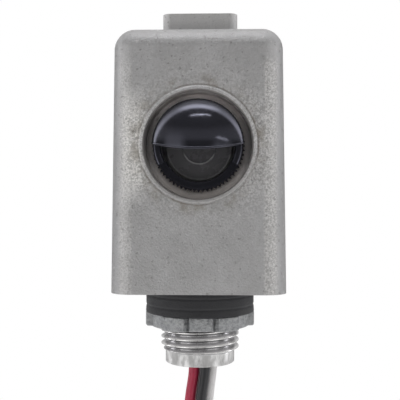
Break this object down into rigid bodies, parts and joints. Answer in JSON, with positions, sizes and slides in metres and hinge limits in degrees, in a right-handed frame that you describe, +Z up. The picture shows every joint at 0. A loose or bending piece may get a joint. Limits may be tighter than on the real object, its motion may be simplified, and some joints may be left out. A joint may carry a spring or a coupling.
{
  "type": "photocell switch",
  "caption": "Stem-mounted photocell light switch: grey die-cast box with a hooded round eye, threaded conduit stem, locknut, gasket and insulated leads.",
  "frame": {"origin": "on the stem's axis, at the underside of the locknut, where the free thread begins", "axes": "+Z up along the stem, front and eye towards -Y, +X to the right seen from the front"},
  "size_m": [0.0454, 0.0416, 0.2458],
  "materials": {
    "cast_zinc": "tumbled die-cast zinc, satin, fine pits",
    "bright_zinc": "bright cast zinc thread",
    "nut_zinc": "dull die-cast zinc",
    "plated_steel": "zinc plated",
    "black_rubber": "matte black rubber",
    "black_gloss": "glossy black moulding",
    "dark_lens": "dark smoked window",
    "brown_board": "phenolic board",
    "cell_ceramic": "coated light cell",
    "brass": "stamped brass",
    "silver_contact": "silver contact",
    "red_insulation": "red wire insulation",
    "black_insulation": "black wire insulation",
    "white_insulation": "white wire insulation",
    "copper": "bare copper"
  },
  "bodies": {
    "case": {"housing": "cast_zinc", "base_plate": "cast_zinc", "base_gasket": "black_rubber", "base_screws": "plated_steel", "conduit_stem": "bright_zinc", "stem_gasket": "black_rubber", "locknut": "nut_zinc", "lead_seal": "black_rubber", "lens": "dark_lens", "lens_seal": "black_rubber", "cell_holder": "brown_board", "photocell": "cell_ceramic", "cell_pins": "plated_steel", "chassis_board": "brown_board", "board_rivets": "brass", "arm_bracket": "brass", "fixed_contact": "silver_contact", "calibration_screw": "brass", "heater_resistor": "brown_board", "line_terminal": "brass", "load_terminal": "brass", "neutral_terminal": "brass", "red_lead": "red_insulation", "black_lead": "black_insulation", "white_lead": "white_insulation", "bare_conductors": "copper"},
    "selector": {"selector_hood": "black_gloss", "selector_clip": "plated_steel"},
    "arm": {"contact_arm": "plated_steel", "moving_contact": "silver_contact"}
  },
  "joints": [
    {"name": "selector_turn", "type": "hinge", "parent": "case", "child": "selector", "pos_m": [0, -0.018, 0.0482], "axis": [0, -1, 0], "range_deg": [-90, 90]},
    {"name": "contact_swing", "type": "hinge", "parent": "case", "child": "arm", "pos_m": [0, 0.0089, 0.0645], "axis": [1, 0, 0], "range_deg": [0, 4], "stiffness_Nm_per_rad": 0.02}
  ]
}
